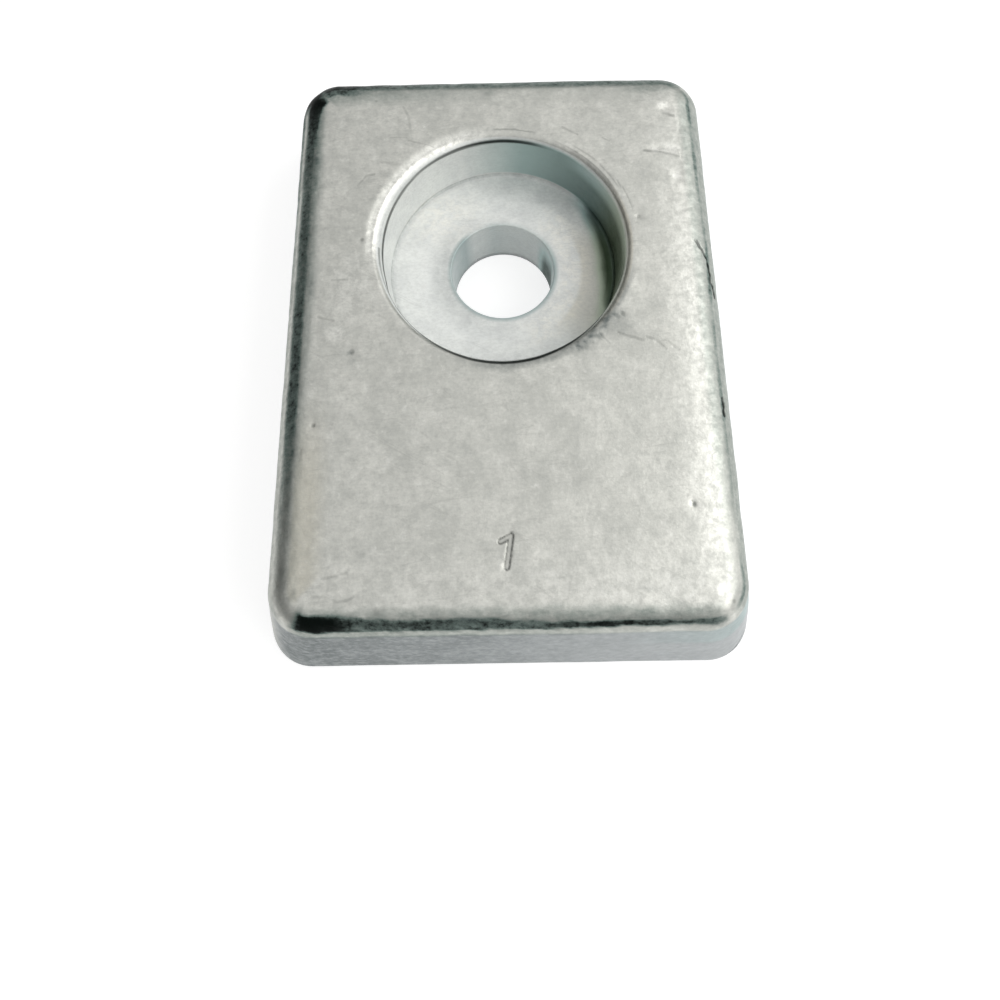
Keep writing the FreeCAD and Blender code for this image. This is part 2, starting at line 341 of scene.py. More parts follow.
class Skin:
    """The skin's points before they are pushed in, and where each of them lies on the casting."""

    def __init__(self, mesh, section):
        mesh.normal_update()
        self.points = np.array([vert.co for vert in mesh.verts])
        self.normals = np.array([vert.normal for vert in mesh.verts])
        self.flat = self.points[:, :2]
        self.x, self.y, self.z = self.points.T
        from_hole = self.flat - section.hole
        self.reach = np.linalg.norm(from_hole, axis=1)
        self.bearing = np.degrees(np.arctan2(from_hole[:, 1], from_hole[:, 0]))
        core = section.foot - section.top_inset - section.top_corner
        beyond = np.abs(self.flat) - core
        outside = np.linalg.norm(np.maximum(beyond, 0), axis=1) + np.minimum(beyond.max(1), 0)
        self.outset = outside - section.top_corner
        rise = np.clip((self.z - section.edge_z) / TOP_EDGE_RADIUS, -1, 1)
        on_edge = 90 - np.degrees(np.arcsin(rise))
        self.slope = np.where(self.outset > 0, on_edge, np.degrees(self.outset / TOP_EDGE_RADIUS))
        share = smooth_step(-1, 1, beyond[:, 0] - beyond[:, 1])
        nearest = np.sign(self.flat) * np.column_stack([share, 1 - share])
        facing = np.where((self.outset > 0.01)[:, None], self.normals[:, :2], nearest)
        self.facing = facing / np.maximum(np.linalg.norm(facing, axis=1), 1e-6)[:, None]
        self.rounded = (self.outset > 0.01) & (self.z > section.edge_z)
        self.inside = self.reach < RECESS_RADIUS + 1.5
        self.top = (self.outset <= 0.01) & (self.z > section.height - 0.01)
        self.crown = self.z > section.edge_z + 0.5
        self.upper = self.z > section.floor_z + RECESS_ROOT_RADIUS
        rim_radius = section.recess_wall(section.height - RECESS_RIM_RADIUS) + RECESS_RIM_RADIUS
        self.past_rim = self.reach - rim_radius
        below_rim = np.maximum(section.height - RECESS_RIM_RADIUS - self.z, 0)
        rim_rise = self.z - section.height + RECESS_RIM_RADIUS
        rim_slope = np.degrees(np.arctan2(-self.past_rim, np.maximum(rim_rise, 1e-6)))
        self.rim_slope = np.where(self.inside & self.upper & ~self.top, rim_slope, 0)
        self.down_rim = np.radians(self.rim_slope) * RECESS_RIM_RADIUS + below_rim
        self.core = self.inside & (self.z < section.height - 0.01)
        self.floor = self.core & ~self.upper & (self.z > section.floor_z - 0.01)
        self.bore = self.reach < section.bore_radius + 1.1 * BORE_MOUTH_RADIUS
        root_reach = RECESS_RADIUS - RECESS_ROOT_RADIUS
        low = 1 - smooth_step(0.5 * RECESS_ROOT_RADIUS, RECESS_ROOT_RADIUS, self.z - section.floor_z)
        self.root = self.core * low * smooth_step(root_reach - 0.05, root_reach + 0.1, self.reach)
        self.wall = smooth_step(66, 77, self.slope)


def rim_tear(skin):
    """0 to 1 where the core's flash was torn from the rim, at the lower right."""
    within = band(skin.bearing, -66, -56, -38, -30)
    across = band(skin.past_rim, -0.75, -0.3, 0.15, 1.0)
    patch = np.exp(-spread(skin, 9.1, -0.1, 1.0, 0.8))
    ragged = smooth_step(-0.9, 0.6, cast_noise(skin.points, 0.4, 3) + 0.4 * cast_noise(skin.points, 1.0, 28))
    return np.maximum(within * across, 0.8 * patch) * ragged * skin.upper


def worn_side(skin):
    """0 to 1 round the rim's upper left, where it is worn and painted bright as a highlight."""
    turn = (skin.bearing - 144 + 180) % 360 - 180
    return 1 - smooth_step(32, 56, np.abs(turn))


def mark_distance(skin):
    """Each point's distance to the middle of the cavity mark's strokes."""
    return np.minimum.reduce([distance_to_line(skin.flat, stroke) for stroke in MARK_STROKES])


def crack_distance(skin):
    """Each point's distance to the nearest crack, made ragged."""
    lines = [distance_to_line(skin.flat, line) for line in (CRACK, CRACK_DASH)]
    top_cracks = np.where(skin.crown, np.minimum.reduce(lines), FAR_AWAY)
    nearest = np.minimum(top_cracks, distance_to_line(skin.points, CORNER_CRACK))
    return nearest + 0.1 * cast_noise(skin.points, 0.45, 8)


def scratches(skin):
    """Fine dark scratches and pits on the top face, and the arcs rubbed round the rim."""
    wander = 0.06 * cast_noise(skin.points, 0.55, 12)
    fade = 0.65 + 0.35 * cast_noise(skin.points, 0.8, 26)
    shade = np.zeros(len(skin.x))
    for points, half_width, strength in SCRATCHES:
        away = distance_to_line(skin.flat, points) + wander
        line = 1 - smooth_step(0.1 * half_width, 1.7 * half_width, away)
        shade = np.maximum(shade, strength * fade * line)
    for x, y, radius, strength in SPOTS:
        away = np.hypot(skin.x - x, skin.y - y) + wander
        shade = np.maximum(shade, strength * (1 - smooth_step(0.4 * radius, 1.5 * radius, away)))
    for radius, first, last, half_width, strength in RIM_ARCS:
        away = np.abs(skin.reach - radius + 1.5 * wander)
        within = band(skin.bearing, first, first + 6, last - 6, last)
        line = 1 - smooth_step(0.3 * half_width, 1.6 * half_width, away)
        shade = np.maximum(shade, strength * within * line)
    return 0.9 * shade * skin.crown


def edge_wear(skin):
    """0 to 1 where rubbing has rounded the top face off before its edge, most along the right side."""
    share = np.clip(1 + skin.outset / EDGE_WEAR_WIDTH, 0, 1) ** 2
    side = 0.35 + 0.65 * smooth_step(6, 13, skin.x)
    return share * side * smooth_step(5, 8.5, skin.z)


def push_depth(skin):
    """How far each point is pushed into the block from the true cast face."""
    waves = sum(height * cast_noise(skin.points, spacing, seed) for height, spacing, seed in WAVES)
    depth = SKIN_SINK + waves + EDGE_WEAR * edge_wear(skin)
    depth += skin.rounded * 0.04 * smooth_step(-0.2, 0.7, cast_noise(skin.points, 1.5, 5))
    depth = np.where(skin.core, SKIN_SINK * 0.5 + 0.3 * waves, depth)
    for x, y, half_length, half_width, deep in DENTS:
        depth += deep * np.exp(-spread(skin, x, y, half_length, half_width)) * skin.crown
    for x, y, radius in DIMPLES:
        away = np.hypot(skin.x - x, skin.y - y)
        depth += 0.18 * radius * np.exp(-(away / radius) ** 2) * skin.top
    depth += 0.02 * rim_tear(skin)
    worn_rim = worn_side(skin) * skin.upper
    beyond = smooth_step(-0.15, RIM_WEAR_WIDTH, skin.past_rim)
    below = smooth_step(0.5, 1.3, skin.down_rim)
    worn_rim *= (1 - beyond) * (1 - below)
    depth += RIM_WEAR * worn_rim
    stamped = 1 - smooth_step(MARK_HALF_WIDTH, MARK_HALF_WIDTH + MARK_WALL, mark_distance(skin))
    depth += MARK_DEPTH * stamped * skin.crown
    depth += CRACK_DEPTH * (1 - smooth_step(0.03, 0.16, crack_distance(skin)))
    depth += SCRATCH_DEPTH * scratches(skin)
    return np.maximum(depth, 0)


def along(value, *stops):
    """A line through (place, strength) stops, read at value."""
    places, strengths = zip(*stops)
    return np.interp(value, places, strengths)


def above_wall(skin):
    """1 on the rounded edge, fading out where the drafted wall starts."""
    return 1 - smooth_step(54, 70, skin.slope)


def left_soot_and_shade(skin):
    """Green-black coat and painted dark reflection along the left edge, fading inwards over the rounding,
    darkest at the far corner.
    """
    wander = 3.0 * cast_noise(skin.points * (1, 0.4, 1), 1.6, 23)
    slope = skin.slope + wander
    start = along(skin.y, (17, 8), (19.5, 0), (21, -8))
    core = smooth_step(start, start + 12, slope) * (1 - smooth_step(36, 50, slope))
    core *= along(skin.y, (-24, 0.08), (-20, 0.15), (-17, 0.28), (-14, 0.44), (-10, 0.7), (-6, 0.82),
                  (-3, 0.8), (1, 0.78), (4, 0.71), (8, 0.77), (12, 0.69), (16, 0.77), (19, 0.92), (21, 1.0))
    halo = band(slope, -12, 14, 22, 34)
    halo *= along(skin.y, (-24, 0.1), (-18, 0.15), (-12, 0.25), (0, 0.36), (8, 0.45), (14, 0.6), (17, 0.62),
                  (20, 0.75))
    rim = smooth_step(44, 56, skin.slope) * (1 - skin.wall)
    rim *= along(skin.y, (-24, 0.2), (0, 0.34), (8, 0.5), (20, 0.8))
    return np.maximum.reduce([core, halo, rim]) * smooth_step(0.5, 0.9, -skin.facing[:, 0])


def near_soot_and_shade(skin):
    """Black coat and painted dark reflection on the near edge: thick at the left, then thinner, then clumps,
    with a grey halo above and painted shade on the wall below.
    """
    clumps = np.zeros(len(skin.x))
    for place, half_length, strength in NEAR_CLUMPS:
        clumps = np.maximum(clumps, strength * np.exp(-((skin.x - place) / half_length) ** 4))
    specks = cast_noise(skin.points * (0.7, 1, 1), 0.5, 21)
    slope = skin.slope + 3.5 * cast_noise(skin.points * (0.5, 1, 1), 0.8, 24) + 3 * specks
    start = along(skin.x, (-16, 12), (-12, 15), (-7, 24), (-4, 20), (2, 26), (6, 34), (12, 35))
    core = smooth_step(start, start + 12, slope) * (1 - smooth_step(51, 59, slope))
    core *= along(skin.x, (-17, 0.6), (-15.8, 1.0), (-12.5, 1.0), (-10.8, 0.86), (-8, 0.88), (-3, 0.9),
                  (0, 0.85), (4, 0.9), (9, 0.85), (15, 0.85))
    broken = smooth_step(2.5, 4.5, skin.x)
    core *= 1 - broken * (1 - 0.6 * clumps)
    line = band(slope, 33, 41, 48, 54)
    line *= along(skin.x, (1.5, 0), (2.5, 0.9), (7, 0.97), (10, 0.9), (13, 0.84), (16, 0.7))
    core *= 1 - 0.2 * smooth_step(-14, -10, skin.x) * smooth_step(-0.1, 0.5, specks)
    halo = smooth_step(2, 22, slope) * (1 - smooth_step(50, 58, slope)) * (1 + 0.5 * specks)
    halo *= along(skin.x, (-16, 0.35), (-8, 0.28), (0, 0.3), (5, 0.36), (14, 0.34), (17, 0.2))
    rim = smooth_step(46, 56, skin.slope) * (1 - skin.wall)
    rim *= along(skin.x, (-17, 0.36), (-6, 0.34), (0, 0.3), (6, 0.22), (12, 0.14), (17, 0.06))
    below = band(skin.slope, 62, 68, 73, 78) * along(skin.x, (-17, 0.55), (-4, 0.45), (4, 0.3), (14, 0.12))
    coat = np.maximum.reduce([core, line, halo, rim, below])
    return coat * smooth_step(0.8, 0.97, -skin.facing[:, 1])


def far_soot_and_shade(skin):
    """Grey-green line on the far edge, partly a painted dark reflection, thick by the left corner."""
    line = smooth_step(6, 24, skin.slope)
    line *= along(skin.x, (-16, 1.0), (-13.5, 0.95), (-11.5, 0.86), (-8, 0.8), (-4, 0.7), (2, 0.7),
                  (8, 0.72), (14, 0.7))
    thick = smooth_step(-9, -14, skin.x) * smooth_step(-4, 8, skin.slope) * 0.85
    halo = smooth_step(-34, 4, skin.slope)
    halo *= along(skin.x, (-16, 0.6), (-13, 0.38), (-8, 0.28), (-4, 0.16), (0, 0.06))
    coat = np.maximum.reduce([line, thick, halo])
    return coat * smooth_step(0.5, 0.9, skin.facing[:, 1]) * above_wall(skin)


def right_soot_and_shade(skin):
    """Thin broken line on the right edge, with painted shade dulling the metal on both sides of it."""
    breaks = cast_noise(skin.points * (1, 0.5, 1), 1.2, 22)
    middle = along(skin.y, (-24, 45), (-20, 44), (-16, 36), (-6, 36), (2, 36), (7, 40), (12, 32), (20, 29))
    away = skin.slope - middle
    line = band(away, -9, -1, 3, 11)
    line *= along(skin.y, (-24, 0.7), (-20, 0.62), (-17, 0.2), (-14, 0.6), (-9, 0.5), (-6.5, 0.95),
                  (-3, 0.6), (1, 0.6), (3.5, 0.9), (7, 0.72), (11, 0.5), (15, 0.72), (20, 0.75))
    line *= 1 - 0.25 * smooth_step(-0.1, 0.3, breaks)
    strip = smooth_step(1, 9, away) * 0.4
    shade = smooth_step(-2, 14, skin.slope) * along(skin.y, (-24, 0.08), (-19, 0.1), (-14, 0.22), (-8, 0.32))
    coat = np.maximum.reduce([line, strip, shade])
    return coat * smooth_step(0.6, 0.92, skin.facing[:, 0]) * (1 - skin.wall)


def soot_and_shade(skin):
    """Dark mould coat along the rounded edges, with painted dark reflection and painted shade, 0 to 1, thick
    at the far left corner.
    """
    corner = np.hypot(skin.x + 17.6, skin.y - 22.6) + 0.25 * cast_noise(skin.points, 0.9, 25)
    corner = (1 - smooth_step(1.5, 2.9, corner)) * smooth_step(-0.2, 0.5, skin.outset)
    corner *= above_wall(skin)
    wedge = np.exp(-spread(skin, 13.2, 22.0, 2.4, 0.5)) * 0.42 * skin.crown
    edges = [edge_soot_and_shade(skin) for edge_soot_and_shade in (left_soot_and_shade, near_soot_and_shade, far_soot_and_shade, right_soot_and_shade)]
    return np.maximum.reduce(edges + [corner, wedge])


def smudges_and_shade(skin):
    """Soft grey rubs on the top, on the recess's floor round the bore and at the torn flash; painted shade
    in the recess's root, under its rim's near side, on its floor by the far wall and on the near wall,
    darker to the left.
    """
    shade = np.zeros(len(skin.x))
    for x, y, half_length, half_width, strength in SMUDGE_AND_SHADE_SPOTS:
        shade = np.maximum(shade, strength * np.exp(-spread(skin, x, y, half_length, half_width)))
    # Painted shade: in the root's corner, on the floor by the far wall, under the rim's near side, and on
    # the near wall, darker to the left
    root = skin.root * along(skin.bearing, (-180, 0.4), (-60, 0.3), (60, 0.4), (120, 0.5), (180, 0.4))
    shadow = 0.2 * band(skin.bearing, 20, 50, 90, 112) * smooth_step(6.9, 8.0, skin.reach)
    below = 0.5 * band(skin.bearing, -115, -90, -30, -5)
    below *= band(skin.past_rim, -0.8, -0.4, -0.05, 0.3) * skin.upper
    ring = 1 - smooth_step(5.2, 7.2, skin.reach + 0.5 * cast_noise(skin.points, 1.8, 30))
    ring *= along(skin.bearing, (-180, 0.3), (-150, 0.3), (-120, 0.22), (-75, 0.06), (-60, 0.0), (100, 0.0),
                  (125, 0.12), (145, 0.28), (180, 0.3))
    floor = skin.floor * np.maximum(shadow, ring)
    front = smooth_step(0.3, 0.9, -skin.facing[:, 1])
    wall = skin.wall * front
    wall *= along(skin.x, (-19, 0.95), (-13, 0.92), (-8, 0.78), (-3.5, 0.7), (0, 0.6), (5.5, 0.4),
                  (10, 0.28), (19, 0.16))
    return np.maximum.reduce([shade * skin.crown, 0.9 * rim_tear(skin), below, root, floor, wall])


def rim_line(skin):
    """A dark line round the rim, on the near side of the recess."""
    middle = along(skin.bearing, (-150, 1.1), (-135, 1.0), (-120, 0.7), (-105, 0.52), (-90, 0.45),
                   (-75, 0.52), (-60, 0.8), (-45, 1.05), (-30, 1.3), (-15, 1.0), (0, 0.8), (30, 0.35),
                   (70, 0.4))
    half = along(skin.bearing, (-120, 0.28), (-75, 0.3), (-60, 0.4), (-30, 0.4), (0, 0.3))
    line = (1 - smooth_step(0.4 * half, half, np.abs(skin.down_rim - middle))) * (skin.rim_slope > 0)
    return line * along(skin.bearing, (-150, 0.5), (-120, 0.72), (-90, 0.85), (-60, 1.0), (-30, 0.9),
                        (-15, 0.4), (0, 0.15), (30, 0.4), (50, 0.35), (70, 0.0))


def rim_edge_line(skin):
    """The dark line under the rim, on the recess's wall, all round but for its right side."""
    middle = along(skin.bearing, (-180, 2.15), (-166, 2.6), (-155, 1.5), (-148, 1.12), (75, 1.1), (90, 1.12),
                   (105, 1.2), (120, 1.27), (135, 1.35), (150, 1.6), (165, 1.85), (180, 2.15))
    half = along(skin.bearing, (-180, 0.5), (-160, 0.5), (-150, 0.3), (135, 0.32), (150, 0.42), (180, 0.5))
    line = (1 - smooth_step(0.3 * half, half, np.abs(skin.down_rim - middle))) * (skin.rim_slope > 0)
    return line * along(skin.bearing, (-180, 0.95), (-150, 0.9), (-90, 0.8), (-60, 0.85), (-40, 0.5),
                        (-25, 0.0), (60, 0.0), (75, 0.75), (85, 0.93), (95, 0.93), (108, 0.75), (130, 0.62),
                        (150, 0.68), (180, 0.92))


def dirt(skin):
    """Dark fill in the mark and the cracks, and the dark lines round the rim."""
    away = mark_distance(skin)
    edge = np.exp(-((away - MARK_HALF_WIDTH - 0.3 * MARK_WALL) / 0.09) ** 2)
    mark = (0.55 * edge + 0.25 * (away < MARK_HALF_WIDTH)) * skin.top
    crack = 1 - smooth_step(0.05, 0.2, crack_distance(skin))
    crack *= 0.85 + 0.3 * cast_noise(skin.points, 0.5, 27)
    crack *= along(skin.y, (5.3, 1.0), (6.9, 0.4))
    return np.maximum.reduce([mark, crack, rim_line(skin), rim_edge_line(skin)])


def green_painted_shade(skin):
    """Green-black painted shade on the recess's right side, along its floor's right edge and down the bore's
    right side.
    """
    wall = skin.upper * smooth_step(0.7, 1.1, skin.down_rim)
    wall *= along(skin.bearing, (-75, 0), (-45, 0.5), (-20, 0.75), (10, 0.82), (40, 0.7), (60, 0.57),
                  (80, 0.4), (100, 0.12), (110, 0))
    wall *= 1 - 0.5 * smooth_step(8.6, 10.2, skin.z) * band(skin.bearing, -20, 5, 40, 60)
    start = along(skin.bearing, (-45, 8.9), (-25, 8.5), (0, 7.75), (20, 8.0), (40, 8.7))
    away = skin.reach + 0.15 * cast_noise(skin.points, 2.0, 6) - start
    floor = skin.floor * smooth_step(0, 1.5, away) * band(skin.bearing, -42, -18, 32, 55) * 0.95
    bore = skin.bore * band(skin.bearing, 2, 12, 28, 48) * np.clip((5.2 - skin.z) / 3.2, 0.02, 1) ** 0.5
    return np.maximum.reduce([wall, floor, bore])


def olive(skin):
    """1 where the tint is yellow-green: on the recess's right side, and on the top by the left edge."""
    recess = skin.core * band(skin.bearing, -60, -30, 12, 40) * (skin.reach > 7)
    edge = band(skin.slope, -55, -15, 6, 16) * smooth_step(-5, -14, skin.y)
    edge *= smooth_step(0.5, 0.9, -skin.facing[:, 0])
    return np.maximum(recess, edge * skin.crown)


def bore_painted_shade(skin):
    """How far the bore's wall is painted a darker grey-green, as shade in the hole: least on its far side.
    """
    shade = along(skin.bearing, (-180, 0.75), (-60, 0.9), (5, 0.9), (20, 0.5), (40, 0.35), (60, 0.25),
                  (80, 0.3), (100, 0.5), (112, 0.25), (125, 0.25), (138, 0.95), (155, 0.85), (180, 0.75))
    return skin.bore * shade


def wall_painted_shade(skin):
    """1 on the dull drafted walls and the underside, painted darker and bluer than the top as shade, less on
    the left wall.
    """
    left = smooth_step(0.6, 0.95, -skin.facing[:, 0])
    return np.maximum(skin.wall * (1 - 0.8 * left), (skin.z < 0.01) * 1.0)


def bare_metal_and_highlight(skin):
    """Brighter metal, rubbed and with painted highlights, by the right and near edges, on the dents and at
    the rim's upper left; painted light on the recess's floor.
    """
    edge = skin.x + 0.9 * cast_noise(skin.points, 2.4, 11)
    side = smooth_step(12.4, 15.0, edge) * (1 - smooth_step(8, 22, skin.slope))
    side *= along(skin.y, (-24, 0.35), (-20, 0.5), (-17, 0.75), (-14, 0.65), (-8, 0.42), (-4, 0.5),
                  (3, 0.65), (8, 0.45), (14, 0.3), (22, 0.2))
    near = smooth_step(16, 21.5, -skin.y) * (1 - smooth_step(8, 20, skin.slope))
    near *= along(skin.x, (-16, 0.1), (0, 0.3), (14, 0.5))
    rim = worn_side(skin) * band(skin.past_rim, -0.8, -0.5, -0.1, 0.5)
    shade = np.maximum.reduce([side, near, rim])
    for x, y, half_length, half_width, strength in RUBBED_AND_HIGHLIGHT_SPOTS:
        patch = np.exp(-spread(skin, x, y, half_length, half_width) ** 2)
        shade = np.maximum(shade, strength * patch)
    # Painted light on the recess's floor: at its upper left, and in a band on its right side
    glow = skin.floor * np.exp(-spread(skin, -5.2, 12.2, 3.4, 2.6))
    right = skin.floor * band(skin.reach, 4.9, 5.5, 7.4, 8.2) * band(skin.bearing, -90, -50, 40, 65)
    return np.maximum.reduce([shade * skin.crown, glow, right])


def add_attribute(mesh, name, values):
    layer = mesh.attributes.new(name, "FLOAT", "POINT")
    layer.data.foreach_set("value", np.asarray(values, np.float32))


def cast_block(section):
    """The whole casting's skin as one piece."""
    mesh = wrap_rings(section.rings())
    refine(mesh, section)
    skin = Skin(mesh, section)
    depth = push_depth(skin)
    data = bpy.data.meshes.new("cast_block")
    mesh.to_mesh(data)
    mesh.free()
    placed = (skin.points - skin.normals * depth[:, None]) * MM
    data.vertices.foreach_set("co", placed.ravel())
    for measure in (soot_and_shade, smudges_and_shade, dirt, scratches, green_painted_shade, olive, bore_painted_shade, wall_painted_shade, bare_metal_and_highlight):
        add_attribute(data, measure.__name__, measure(skin))
    add_attribute(data, "core_face", skin.core & (skin.z < section.height - 0.25))
    data.polygons.foreach_set("use_smooth", np.ones(len(data.polygons), bool))
    data.update()
    block = bpy.data.objects.new("cast_block", data)
    bpy.context.scene.collection.objects.link(block)
    return block


class Nodes:
    """Adds a material's nodes and wires them, a value or a socket at a time."""

    def __init__(self, tree):
        self.tree = tree

    def add(self, kind, **settings):
        node = self.tree.nodes.new(kind)
        for name, value in settings.items():
            setattr(node, name, value)
        return node

    def feed(self, socket, value):
        if isinstance(value, bpy.types.NodeSocket):
            self.tree.links.new(value, socket)
        else:
            socket.default_value = value

    def feed_all(self, node, **values):
        for name, value in values.items():
            self.feed(node.inputs[name.replace("_", " ")], value)

    def maths(self, operation, *values, clamp=False):
        node = self.add("ShaderNodeMath", operation=operation, use_clamp=clamp)
        for socket, value in zip(node.inputs, values):
            self.feed(socket, value)
        return node.outputs[0]

    def scaled(self, vector, scale):
        node = self.add("ShaderNodeVectorMath", operation="SCALE")
        self.feed(node.inputs[0], vector)
        self.feed(node.inputs["Scale"], scale)
        return node.outputs["Vector"]

    def ramp(self, value, low, high, bottom=0.0, top=1.0):
        node = self.add("ShaderNodeMapRange", interpolation_type="SMOOTHSTEP")
        self.feed_all(node, Value=value, From_Min=low, From_Max=high, To_Min=bottom, To_Max=top)
        return node.outputs["Result"]

    def blend(self, share, first, second):
        node = self.add("ShaderNodeMix", data_type="RGBA", blend_type="MIX")
        for index, value in ((0, share), (6, first), (7, second)):
            self.feed(node.inputs[index], value)
        return node.outputs[2]

    def stretched(self, vector, scale, turn=0.0):
        """The vector turned about Z, then divided by scale along each axis."""
        node = self.add("ShaderNodeMapping", vector_type="TEXTURE")
        self.feed(node.inputs["Vector"], vector)
        node.inputs["Scale"].default_value = scale
        node.inputs["Rotation"].default_value = Euler((0, 0, turn))
        return node.outputs[0]

    def noise(self, vector, scale, detail, roughness=0.5, distortion=0.0):
        node = self.add("ShaderNodeTexNoise")
        self.feed_all(node, Vector=vector, Scale=scale, Detail=detail)
        self.feed_all(node, Roughness=roughness, Distortion=distortion)
        return node.outputs["Fac"]

    def attribute(self, name):
        return self.add("ShaderNodeAttribute", attribute_name=name).outputs["Fac"]

    def millimetres(self):
        """The object's own coordinates, in millimetres."""
        return self.scaled(self.add("ShaderNodeTexCoord").outputs["Object"], 1 / MM)

    def bump(self, height, distance, strength, normal=None):
        """A normal bent by height, which is distance metres high at strength 1."""
        node = self.add("ShaderNodeBump")
        self.feed_all(node, Height=height, Distance=distance, Strength=strength)
        if normal is not None:
            self.feed(node.inputs["Normal"], normal)
        return node.outputs[0]


def new_material(name):
    material = bpy.data.materials.new(name)
    material.use_nodes = True
    nodes = Nodes(material.node_tree)
    shader = next(node for node in material.node_tree.nodes if node.type == "BSDF_PRINCIPLED")
    return material, nodes, shader


# The zinc's colours: clean cast metal, then what lies on it
CAST_DARK = (0.62, 0.625, 0.58, 1)
CAST_LIGHT = (0.74, 0.74, 0.69, 1)
MOTTLE_DARK = (0.46, 0.47, 0.445, 1)
MOTTLE_LIGHT = (0.86, 0.86, 0.81, 1)
STREAK = (0.40, 0.41, 0.385, 1)
GRAIN = (0.40, 0.41, 0.39, 1)
RECESS_DARK = (0.78, 0.80, 0.79, 1)
RECESS_LIGHT = (0.90, 0.92, 0.90, 1)
# Walls: darker and bluer than the top, painted shade
WALL_SHADE_DARK = (0.425, 0.45, 0.46, 1)
WALL_SHADE_LIGHT = (0.46, 0.482, 0.49, 1)
# Rubbed metal and painted highlights
RUBBED_METAL_AND_HIGHLIGHT = (0.95, 0.948, 0.895, 1)
# The bore's wall: painted shade in the hole
BORE_SHADE = (0.37, 0.465, 0.465, 1)
OLIVE_TINT = (0.60, 0.56, 0.44, 1)
# Soot on the edges, with painted dark reflection and painted shade
THIN_SOOT_AND_SHADE = (0.178, 0.228, 0.209, 1)
THICK_SOOT_AND_SHADE = (0.0035, 0.006, 0.0048, 1)
# Painted shade in the recess and the bore, tinted blue-green and olive
BLUE_SHADE = (0.40, 0.545, 0.53, 1)
OLIVE_SHADE = (0.46, 0.54, 0.42, 1)
DARK_BLUE_SHADE = (0.033, 0.062, 0.053, 1)
DARK_OLIVE_SHADE = (0.033, 0.057, 0.026, 1)
# Smudges and painted shade
SMUDGE_AND_SHADE = (0.098, 0.122, 0.122, 1)
CUT = (0.11, 0.12, 0.11, 1)
PACKED_DIRT = (0.012, 0.016, 0.014, 1)
# Faint scratches: the turn they run at, how long they are drawn out, and the noise's scale
HAIRLINES = [(0.12, 16, 0.8), (-0.5, 12, 0.6)]
# Heights of the bump, in metres
LUMP_HEIGHT = 0.00007
PEBBLE_HEIGHT = 0.00004
GRAIN_HEIGHT = 0.00002


def hairlines(nodes, place, turn, length, scale):
    """Thin scratches that run one way: the middle of a stretched noise."""
    wave = nodes.noise(nodes.stretched(place, (length, 1, 1), turn), scale, detail=2.0, distortion=0.3)
    from_middle = nodes.maths("ABSOLUTE", nodes.maths("SUBTRACT", wave, 0.5))
    return nodes.ramp(from_middle, 0.0, 0.01, 1.0, 0.0)


def scattered_hairlines(nodes, place):
    """A few faint scratches, in places."""
    lines = [hairlines(nodes, place, turn, length, scale) for turn, length, scale in HAIRLINES]
    lines = nodes.maths("MAXIMUM", *lines)
    return nodes.maths("MULTIPLY", lines, nodes.ramp(nodes.noise(place, 0.3, detail=1.0), 0.48, 0.6))


class Finish:
    """What the zinc's layers share: the place in millimetres and the measures kept on the skin."""

    def __init__(self, nodes):
        self.place = nodes.millimetres()
        self.soot_and_shade = nodes.attribute("soot_and_shade")
        self.smudges_and_shade = nodes.attribute("smudges_and_shade")
        self.dirt = nodes.attribute("dirt")
        self.scratches = nodes.attribute("scratches")
        self.green_painted_shade = nodes.attribute("green_painted_shade")
        self.olive = nodes.attribute("olive")
        self.bore = nodes.attribute("bore_painted_shade")
        self.wall = nodes.attribute("wall_painted_shade")
        self.bare_and_highlight = nodes.attribute("bare_metal_and_highlight")
        self.core = nodes.attribute("core_face")
        self.clouds = nodes.noise(self.place, 0.42, detail=5.0, roughness=0.62)
        self.mottle = nodes.noise(self.place, 1.5, detail=5.0, roughness=0.68)
        drawn_out = nodes.stretched(self.place, (1.6, 1, 1))
        self.grain = nodes.noise(drawn_out, 5.0, detail=3.0, roughness=0.6)
        drawn_out = nodes.stretched(self.place, (6, 1, 1), 0.06)
        self.streaks = nodes.noise(drawn_out, 2.2, detail=4.0, roughness=0.65)
        self.patches = nodes.noise(self.place, 1.9, detail=4.0, roughness=0.62)


def cast_colour(nodes, finish):
    """Cloudy light zinc, whiter where rubbed and where highlights are painted, smoother and whiter in the
    recess, painted darker and bluer on the walls and in the bore as shade.
    """
    colour = nodes.blend(nodes.ramp(finish.clouds, 0.3, 0.7), CAST_DARK, CAST_LIGHT)
    colour = nodes.blend(nodes.ramp(finish.mottle, 0.4, 0.75, 0.0, 0.5), colour, MOTTLE_DARK)
    colour = nodes.blend(nodes.ramp(finish.mottle, 0.45, 0.25, 0.0, 0.62), colour, MOTTLE_LIGHT)
    colour = nodes.blend(nodes.ramp(finish.streaks, 0.5, 0.78, 0.0, 0.28), colour, STREAK)
    recess = nodes.blend(nodes.ramp(finish.clouds, 0.3, 0.65), RECESS_DARK, RECESS_LIGHT)
    colour = nodes.blend(nodes.maths("MULTIPLY", finish.core, 0.9), colour, recess)
    wall = nodes.blend(nodes.ramp(finish.clouds, 0.3, 0.7), WALL_SHADE_DARK, WALL_SHADE_LIGHT)
    colour = nodes.blend(finish.wall, colour, wall)
    rubbed_and_highlight = nodes.maths("MULTIPLY", finish.bare_and_highlight, nodes.ramp(finish.mottle, 0.38, 0.62, 1.0, 0.2))
    colour = nodes.blend(rubbed_and_highlight, colour, RUBBED_METAL_AND_HIGHLIGHT)
    colour = nodes.blend(finish.bore, colour, BORE_SHADE)
    colour = nodes.blend(nodes.maths("MULTIPLY", finish.olive, 0.4), colour, OLIVE_TINT)
    return nodes.blend(nodes.ramp(finish.grain, 0.35, 0.7, 0.0, 0.2), colour, GRAIN)


